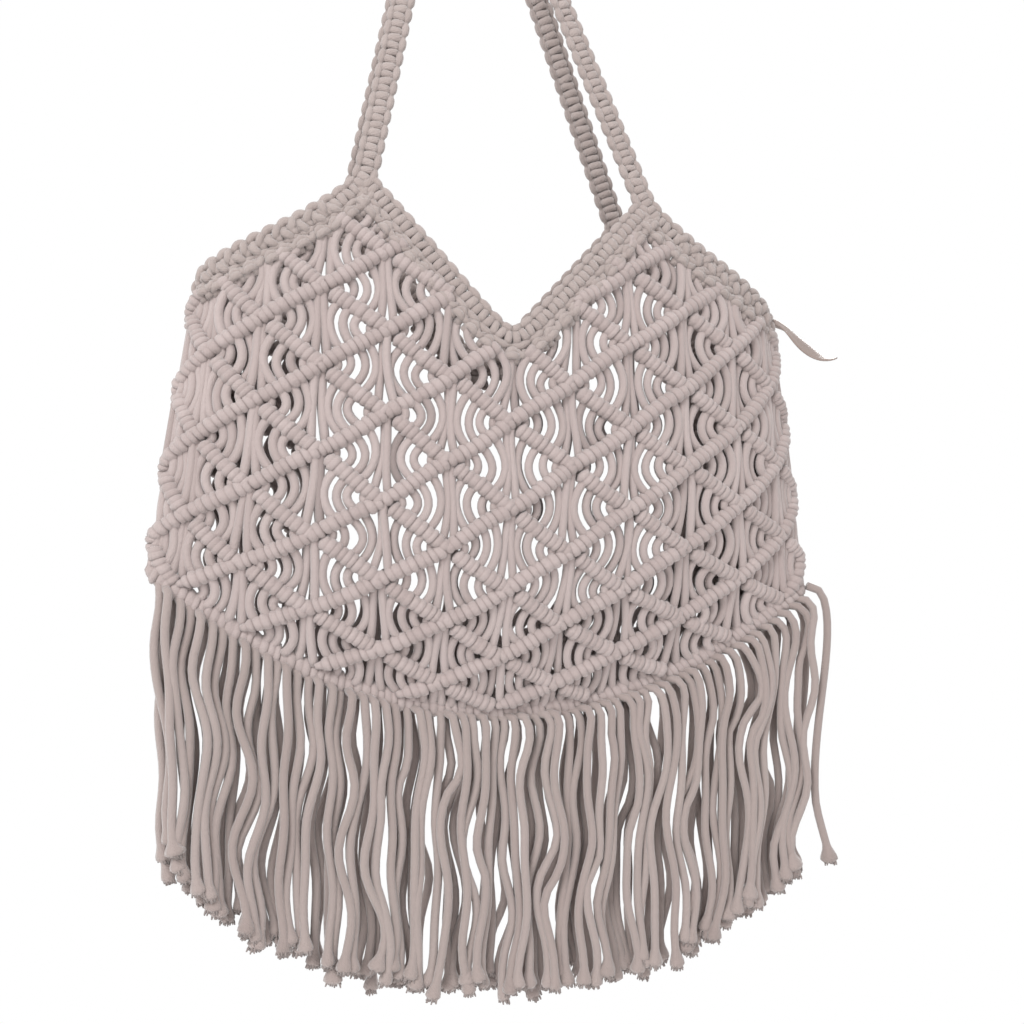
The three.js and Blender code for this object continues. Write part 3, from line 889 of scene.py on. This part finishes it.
def fringe_lines(front):
    """One path for each cord: it leaves the seam sideways, bends down and sways as it hangs."""
    side = -1 if front else 1
    order = np.arange(FRINGE_CORDS)
    spacing = (2 * BASE_HALF_WIDTH - 2) / FRINGE_CORDS
    root = -BASE_HALF_WIDTH + spacing * (order + ROOT_SHIFTS["front" if front else "back"])
    root = root + drawn("root", FRINGE_CORDS)
    clump = (order + (0 if front else 2)) // CLUMP_CORDS
    middle = np.array([root[clump == each].mean() for each in range(clump.max() + 1)])[clump]
    drift = drawn("clump_drift", clump.max() + 1)[clump]
    uneven = across_fringe(root, UNEVEN_LENGTHS) + drawn("clump_length", clump.max() + 1)[clump]
    length = FRINGE_LENGTH * (1 + uneven + drawn("length", FRINGE_CORDS))
    run = length[:, None] * FRINGE_SHARES
    hanging = run / length[:, None]
    leave = across_fringe(root, LEAVE)[:, None] * drawn("leave", (FRINGE_CORDS, 1))
    x = root[:, None] + leave * (1 - np.exp(-run / (0.75 * leave))) - 0.5 * leave * smooth(hanging * 1.5)
    pull = drawn("pull", (FRINGE_CORDS, 1)) * smooth(hanging)
    inward = 8 * smooth((-115 - root) / 60)  # at the left end
    x = x + (middle - root)[:, None] * pull + (drift + inward)[:, None] * hanging**2
    phase = rng.uniform(0, 2 * math.pi, (2, FRINGE_CORDS, 1))
    own_length = drawn("wave_length", (FRINGE_CORDS, 1))
    own_sway = drawn("wave", (FRINGE_CORDS, 1)) * smooth(run / 30)
    x = parted(swayed(x, run), run) + own_sway * np.sin(2 * math.pi * run / own_length + phase[0])
    rise = 0.95 * leave * (1 - np.exp(-run / (0.8 * leave)))
    z = seam_z(root)[:, None] - ROOT_DROP - run + rise
    depth = drawn("depth", (FRINGE_CORDS, 1)) * smooth(run / 14 + 0.3)
    y = side * (depth + 0.8 * np.sin(2 * math.pi * run / 75 + phase[1]))
    return np.stack([x, y, z], axis=-1)


def lone_cord():
    """The outermost cord on the right, which bows out away from the rest and is longer."""
    run = FRINGE_LENGTH * LONE_LENGTH * FRINGE_SHARES
    bow = 13 * (1 - np.exp(-run / 9)) - 9.5 * smooth((run - 25) / 95) + 9 * smooth((run - 125) / 45)
    z = base_end_z + 1 - run + 9 * (1 - np.exp(-run / 9))
    return np.stack([BASE_HALF_WIDTH + 3 + bow, -3.0 + 0 * run, z], axis=-1)


def frayed(count):
    """Radius at each point of each ring: the cords swell and go ragged where their ends have come undone."""
    undone = np.clip((FRINGE_SHARES - 1 + FRAY_SHARE) / FRAY_SHARE, 0, 1)
    fray = smooth(undone / 0.85)[None, :, None]
    rounding = smooth((undone - 0.8) / 0.25)[None, :, None]
    flare = rng.uniform(0.5, 1.3, (count, 1, 1))
    ruffle = 0.14 * rng.standard_normal((count, 1, FRINGE_SIDES))
    return CORD_RADIUS * (1 + (flare + ruffle) * fray**1.3) * (1 - 0.45 * rounding), fray[..., 0]


FIBRES = 22
FIBRE_LENGTH = (0.2, 1.8)
FIBRE_RADII = np.array([0.7, 0.6, 0.35])
FIBRE_ROOT = 2  # how far up inside the cord a fibre starts
FIBRE_SPLAY = 0.35


def add_fibres(body, tips, headings, radii):
    """Loose fibres round the frayed end of each cord: thin cones that spread out and down."""
    count = len(tips)
    angle = rng.uniform(0, 2 * math.pi, (count, FIBRES))
    spread = np.sqrt(rng.uniform(0.0, 1.0, (count, FIBRES)))
    out = np.stack([np.cos(angle), np.sin(angle), 0 * angle], axis=-1) * spread[..., None]
    length = rng.uniform(*FIBRE_LENGTH, (count, FIBRES))[..., None]
    root = tips[:, None] + out * radii[:, None, None] * 1.1 - headings[:, None] * FIBRE_ROOT
    tip = root + (headings[:, None] + out * FIBRE_SPLAY) * (length + FIBRE_ROOT)
    middle = lerp(root, tip, 0.5) + rng.normal(0, 0.2, root.shape)
    paths = np.stack([root, middle, tip], axis=2).reshape(-1, 3, 3)
    thickness = np.broadcast_to(FIBRE_RADII, (len(paths), 3))
    tone = rng.uniform(0.6, 1.5, len(paths))
    add_cords(body, paths, FRINGE_NORMAL, thickness, sides=4, tone=tone)


def build_fringe(name, front, node, material):
    body = Body()
    lines = fringe_lines(front)
    if front:
        lines = np.concatenate([lines, lone_cord()[None]])
    radii, fray = frayed(len(lines))
    tone = rng.random((len(lines), 1)) + 0.2 * fray
    add_cords(body, lines, FRINGE_NORMAL, radii, sides=FRINGE_SIDES, tone=tone)
    headings = unit(lines[:, -1] - lines[:, -2])
    add_fibres(body, lines[:, -1], headings, radii[:, -1].mean(axis=1))
    return body.build(name, material, "fringe_cotton", node)


# The label: a blank ribbon, folded along its length where it comes out of the side.
LABEL_REACH = 0.86  # of its length, sideways
LABEL_DROOP = 0.44  # of its length, downwards
LABEL_TWIST = {"ends": 1.45, "middle": 0.66}
LABEL_FOLD = 1.6
LABEL_HALF_THICKNESS = 0.45


def build_label(material):
    root_z = corner_z + LABEL_RISE
    root = float(half_width(root_z)) + LABEL_GAP
    share = np.linspace(0, 1, 24)
    x = root + LABEL_REACH * LABEL_LENGTH * share
    z = root_z - LABEL_LENGTH * LABEL_DROOP * smooth(share**0.85)
    points = np.stack([x, 0 * share, z], axis=-1)
    twist = LABEL_TWIST["ends"] - LABEL_TWIST["middle"] * np.sin(math.pi * share**1.4)
    normals = np.stack([0 * share, -np.cos(twist), np.sin(twist)], axis=-1)
    _, out, side = cord_frames(points, normals)
    width = LABEL_WIDTH * (0.45 + 0.55 * np.sin(HALF_PI * np.minimum(1, 2 * share)))
    across = np.linspace(-0.5, 0.5, 9)
    fold = LABEL_FOLD * (1 - share)[:, None] * np.cos(2 * math.pi * across)
    sheet = points[:, None] + side[:, None] * (width[:, None] * across)[..., None]
    sheet = sheet + out[:, None] * fold[..., None]
    half = out[:, None] * LABEL_HALF_THICKNESS
    top, bottom = sheet + half, sheet - half
    rings = np.concatenate([top, bottom[:, ::-1]], axis=1)[None]
    body = Body()
    flat = np.concatenate([across, across[::-1]]) * LABEL_WIDTH
    body.tubes(rings[:, :, ::-1], (share * LABEL_LENGTH)[None, :, None], flat[::-1][None, None], 0.5)
    piece = body.build("side_label_ribbon", material, "label_ribbon", "side_label")
    return piece


# Materials.


def new_material(name):
    material = bpy.data.materials.new(name)
    material.use_nodes = True
    nodes, links = material.node_tree.nodes, material.node_tree.links
    return material, nodes, links, nodes["Principled BSDF"]


def math_node(nodes, links, operation, first, second):
    node = nodes.new("ShaderNodeMath")
    node.operation = operation
    for socket, value in zip(node.inputs, (first, second)):
        if isinstance(value, (int, float)):
            socket.default_value = value
        else:
            links.new(value, socket)
    return node.outputs[0]


def noise_node(nodes, links, vector, scale, detail):
    node = nodes.new("ShaderNodeTexNoise")
    node.inputs["Scale"].default_value = scale
    node.inputs["Detail"].default_value = detail
    links.new(vector, node.inputs["Vector"])
    return node.outputs["Fac"]


def mix_colours(nodes, links, factor, first, second):
    node = nodes.new("ShaderNodeMix")
    node.data_type = "RGBA"
    for socket, value in ((node.inputs["A"], first), (node.inputs["B"], second)):
        if isinstance(value, tuple):
            socket.default_value = (*value, 1)
        else:
            links.new(value, socket)
    links.new(factor, node.inputs["Factor"])
    return node.outputs["Result"]


def grain_sockets(nodes, links):
    """The place along and across the cord, and the tone."""
    grain = nodes.new("ShaderNodeAttribute")
    grain.attribute_name = "grain"
    split = nodes.new("ShaderNodeSeparateXYZ")
    links.new(grain.outputs["Vector"], split.inputs[0])
    return split.outputs


def add_bump(nodes, links, shader, height, strength, distance):
    bump = nodes.new("ShaderNodeBump")
    bump.inputs["Strength"].default_value = strength
    bump.inputs["Distance"].default_value = distance
    links.new(height, bump.inputs["Height"])
    links.new(bump.outputs[0], shader.inputs["Normal"])


def cotton(name, light, dark, dusty):
    """Soft cotton cord: plied strands that run slantwise along the cord, fine fibres, uneven colour and painted
    shade where a tone is over 1.
    """
    material, nodes, links, shader = new_material(name)
    along, across, tone = grain_sockets(nodes, links)
    place = nodes.new("ShaderNodeTexCoord").outputs["Object"]

    def times(value, factor):
        return math_node(nodes, links, "MULTIPLY", value, factor)

    stretch = nodes.new("ShaderNodeCombineXYZ")
    links.new(times(along, 0.35), stretch.inputs[0])
    links.new(times(across, 1.6), stretch.inputs[1])
    links.new(tone, stretch.inputs[2])
    fibres = noise_node(nodes, links, stretch.outputs[0], 1.6, 4)
    fuzz = noise_node(nodes, links, place, 900, 3)
    blotches = noise_node(nodes, links, place, 14, 3)

    slanted = math_node(nodes, links, "ADD", along, across)
    strands = math_node(nodes, links, "SINE", times(slanted, 4.2), 0)

    between = mix_colours(nodes, links, tone, light, dark)
    coloured = mix_colours(nodes, links, times(blotches, 0.5), between, dusty)
    shaded = mix_colours(nodes, links, times(fibres, 0.22), coloured, dark)
    shaded = mix_colours(nodes, links, times(fuzz, 0.36), shaded, dark)
    # Tones over 1 mix towards a much darker colour: painted shade in the ridges' grooves and the rails'
    # pinches, and darker tones on some loose fibres and frayed ends.
    painted_shade_and_deep_tone = tuple(0.55 * value for value in dark)
    shaded = mix_colours(nodes, links, math_node(nodes, links, "SUBTRACT", tone, 1.0), shaded, painted_shade_and_deep_tone)
    links.new(shaded, shader.inputs["Base Color"])

    height = math_node(nodes, links, "ADD", fibres, times(strands, 0.1))
    height = math_node(nodes, links, "ADD", height, times(fuzz, 0.8))
    add_bump(nodes, links, shader, height, 0.75, 0.0006)
    shader.inputs["Roughness"].default_value = 0.92
    shader.inputs["Specular IOR Level"].default_value = 0.25
    shader.inputs["Sheen Weight"].default_value = 0.35
    shader.inputs["Sheen Roughness"].default_value = 0.5
    return material


def ribbon(name, colour, shade):
    """Finely woven satin ribbon."""
    material, nodes, links, shader = new_material(name)
    along, across, _ = grain_sockets(nodes, links)
    warp = math_node(nodes, links, "SINE", math_node(nodes, links, "MULTIPLY", along, 12.0), 0)
    weft = math_node(nodes, links, "SINE", math_node(nodes, links, "MULTIPLY", across, 12.0), 0)
    weave = math_node(nodes, links, "MULTIPLY", warp, weft)
    soft = noise_node(nodes, links, nodes.new("ShaderNodeTexCoord").outputs["Object"], 60, 2)
    links.new(mix_colours(nodes, links, soft, colour, shade), shader.inputs["Base Color"])
    add_bump(nodes, links, shader, weave, 0.21, 0.0002)
    shader.inputs["Roughness"].default_value = 0.45
    shader.inputs["Sheen Weight"].default_value = 0.2
    return material


# Assembly.

net_cotton = cotton("net_cotton", (0.356, 0.296, 0.285), (0.282, 0.228, 0.217), (0.307, 0.263, 0.253))
braid_cotton = cotton("braid_cotton", (0.306, 0.256, 0.241), (0.258, 0.211, 0.197), (0.277, 0.239, 0.225))
fringe_cotton = cotton("fringe_cotton", (0.287, 0.237, 0.224), (0.231, 0.184, 0.172), (0.259, 0.223, 0.205))
# The label's colours hold its own colour and painted shade: they are darkened for the shade that the label
# hangs in.
label_ribbon = ribbon("label_ribbon", (0.23, 0.178, 0.158), (0.195, 0.15, 0.133))


def build_net(side, place, node):
    rising, falling, fans = Body(), Body(), Body()
    add_rising_ridges(rising, place)
    add_falling_ridges(falling, place)
    add_fans(fans, place, 1 if side == "front" else -1)
    rising.build(f"{side}_rising_ridges", net_cotton, "net_cotton", node)
    falling.build(f"{side}_falling_ridges", net_cotton, "net_cotton", node)
    fans.build(f"{side}_fan_cords", net_cotton, "net_cotton", node)


build_net("front", front_place, "front_net")
build_net("back", back_place, "back_net")
front_vee_path = vee_path()
build_vee("front_vee_braid", front_vee_path, "front_vee_band", braid_cotton)
build_vee("back_vee_braid", turned_about(front_vee_path), "back_vee_band", braid_cotton)
build_strap("front_strap_braid", strap_path(-HANG_OFFSET), "front_strap", braid_cotton)
build_strap("back_strap_braid", turned_about(strap_path(HANG_OFFSET)), "back_strap", braid_cotton)
build_seam(net_cotton)
build_fringe("front_fringe_cords", True, "front_fringe", fringe_cotton)
build_fringe("back_fringe_cords", False, "back_fringe", fringe_cotton)
build_label(label_ribbon)


# Floor, light and camera. The bag hangs in front of plain white light, over a round pale floor.

# In metres, like the lights.
FLOOR_DROP = 0.9
FLOOR_RADIUS = 1.0
FLOOR_SIDES = 96


def add_floor():
    angles = ring_angles(FLOOR_SIDES)
    points = [(FLOOR_RADIUS * math.cos(a), FLOOR_RADIUS * math.sin(a), -FLOOR_DROP) for a in angles]
    mesh = bpy.data.meshes.new("floor")
    mesh.from_pydata(points, [], [list(range(FLOOR_SIDES))])
    floor = bpy.data.objects.new("floor", mesh)
    bpy.context.scene.collection.objects.link(floor)
    material, nodes, links, shader = new_material("pale_floor")
    faint = noise_node(nodes, links, nodes.new("ShaderNodeTexCoord").outputs["Object"], 3, 2)
    pale = mix_colours(nodes, links, faint, (0.86, 0.86, 0.86), (0.9, 0.9, 0.9))
    links.new(pale, shader.inputs["Base Color"])
    shader.inputs["Roughness"].default_value = 0.9
    mesh.materials.append(material)


def area_light(name, place, target, size, power):
    light = bpy.data.lights.new(name, "AREA")
    light.shape = "SQUARE"
    light.size = size
    light.energy = power
    lamp = bpy.data.objects.new(name, light)
    lamp.location = place
    lamp.rotation_euler = (Vector(target) - Vector(place)).to_track_quat("-Z", "Y").to_euler()
    bpy.context.scene.collection.objects.link(lamp)


def make_camera():
    camera = bpy.data.objects.new("camera", bpy.data.cameras.new("camera"))
    camera.data.sensor_width = 36
    camera.data.lens = EYE_LENS
    camera.data.clip_start = 0.01
    forward = vec(math.sin(EYE_YAW), math.cos(EYE_YAW), 0)
    ahead = forward * math.cos(EYE_PITCH) + vec(0, 0, math.sin(EYE_PITCH))
    level = vec(math.cos(EYE_YAW), -math.sin(EYE_YAW), 0)
    upright = np.cross(level, ahead)
    right = level * math.cos(EYE_ROLL) + upright * math.sin(EYE_ROLL)
    up = np.cross(right, ahead)
    axes = Matrix([right, up, -ahead]).transposed().to_4x4()
    camera.matrix_world = Matrix.Translation(Vector((EYE + vec(HANG_OFFSET, 0, 0)) * MM)) @ axes
    bpy.context.scene.collection.objects.link(camera)
    bpy.context.scene.camera = camera


add_floor()
UPPER_BODY, LOWER_BODY = (0, 0, -0.42), (0, 0, -0.45)  # what the lights point at
area_light("key_light", (-1.1, -1.5, 0.8), UPPER_BODY, 0.9, 44)
area_light("fill_light", (-0.2, -2.6, -0.3), LOWER_BODY, 1.2, 18)
area_light("back_light", (1.1, 1.5, 0.8), UPPER_BODY, 0.9, 44)
area_light("back_fill_light", (0.2, 2.6, -0.3), LOWER_BODY, 1.2, 14)
world = bpy.data.worlds.new("studio")
world.use_nodes = True
world.node_tree.nodes["Background"].inputs["Color"].default_value = (1, 1, 1, 1)
world.node_tree.nodes["Background"].inputs["Strength"].default_value = 1.0
bpy.context.scene.world = world
bpy.context.scene.view_settings.view_transform = "Standard"
make_camera()
